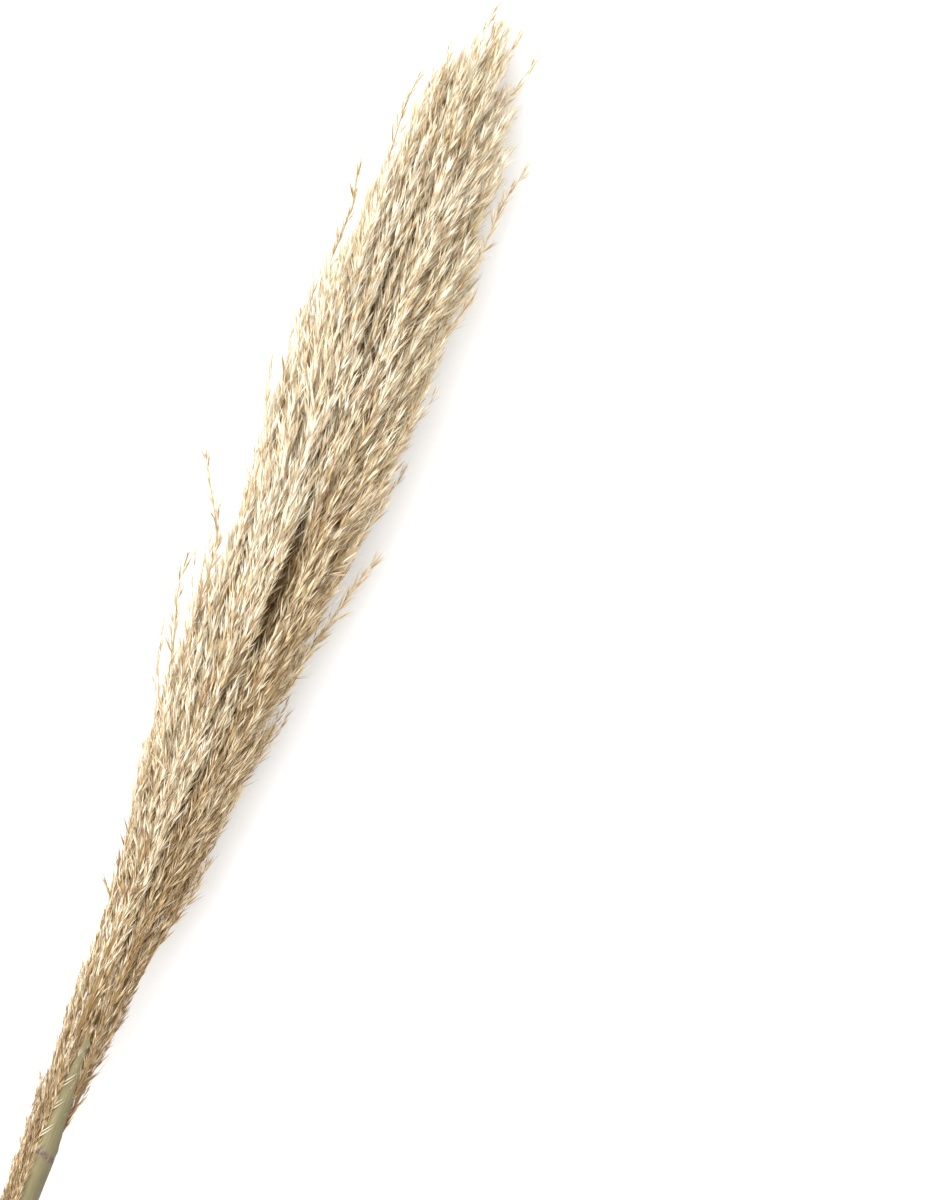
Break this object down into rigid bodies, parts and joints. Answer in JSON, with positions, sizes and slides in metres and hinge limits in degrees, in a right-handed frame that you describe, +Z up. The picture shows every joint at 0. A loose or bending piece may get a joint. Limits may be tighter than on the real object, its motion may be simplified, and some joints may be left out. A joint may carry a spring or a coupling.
{
  "type": "dried giant reed plume",
  "caption": "Dried giant reed lying down: a straight jointed cane with a clean cut end, leaf sheaths and a dense spindle-shaped plume of drooping seed branches.",
  "frame": {"origin": "on the resting surface, under the middle of the reed's box", "axes": "+X along the reed towards the plume's tip, +Y towards the plume's fuller left side seen from above, +Z up from the surface it lies on"},
  "size_m": [1.15, 0.0756, 0.0447],
  "materials": {
    "cane": "satin",
    "rachis": "matte",
    "leaf": "satin",
    "seed_branch": "matte"
  },
  "bodies": {
    "root": {"cane": "cane", "rachis": "rachis", "lower_leaf_sheath": "leaf", "flag_leaf": "leaf", "low_branch_1": "seed_branch", "low_branch_2": "seed_branch", "low_branch_3": "seed_branch", "left_branch_1": "seed_branch", "left_branch_2": "seed_branch", "left_branch_3": "seed_branch", "left_branch_4": "seed_branch", "left_branch_5": "seed_branch", "left_branch_6": "seed_branch", "left_branch_7": "seed_branch", "left_branch_8": "seed_branch", "upper_left_branch_1": "seed_branch", "upper_left_branch_2": "seed_branch", "upper_left_branch_3": "seed_branch", "upper_left_branch_4": "seed_branch", "upper_left_branch_5": "seed_branch", "upper_left_branch_6": "seed_branch", "upper_left_branch_7": "seed_branch", "upper_left_branch_8": "seed_branch", "upper_right_branch_1": "seed_branch", "upper_right_branch_2": "seed_branch", "upper_right_branch_3": "seed_branch", "upper_right_branch_4": "seed_branch", "upper_right_branch_5": "seed_branch", "upper_right_branch_6": "seed_branch", "upper_right_branch_7": "seed_branch", "upper_right_branch_8": "seed_branch", "right_branch_1": "seed_branch", "right_branch_2": "seed_branch", "right_branch_3": "seed_branch", "right_branch_4": "seed_branch", "right_branch_5": "seed_branch", "right_branch_6": "seed_branch", "right_branch_7": "seed_branch", "right_branch_8": "seed_branch", "lower_right_branch_1": "seed_branch", "lower_right_branch_2": "seed_branch", "lower_right_branch_3": "seed_branch", "lower_right_branch_4": "seed_branch", "lower_right_branch_5": "seed_branch", "lower_right_branch_6": "seed_branch", "lower_right_branch_7": "seed_branch", "lower_right_branch_8": "seed_branch", "lower_left_branch_1": "seed_branch", "lower_left_branch_2": "seed_branch", "lower_left_branch_3": "seed_branch", "lower_left_branch_4": "seed_branch", "lower_left_branch_5": "seed_branch", "lower_left_branch_6": "seed_branch", "lower_left_branch_7": "seed_branch", "lower_left_branch_8": "seed_branch"}
  },
  "joints": []
}
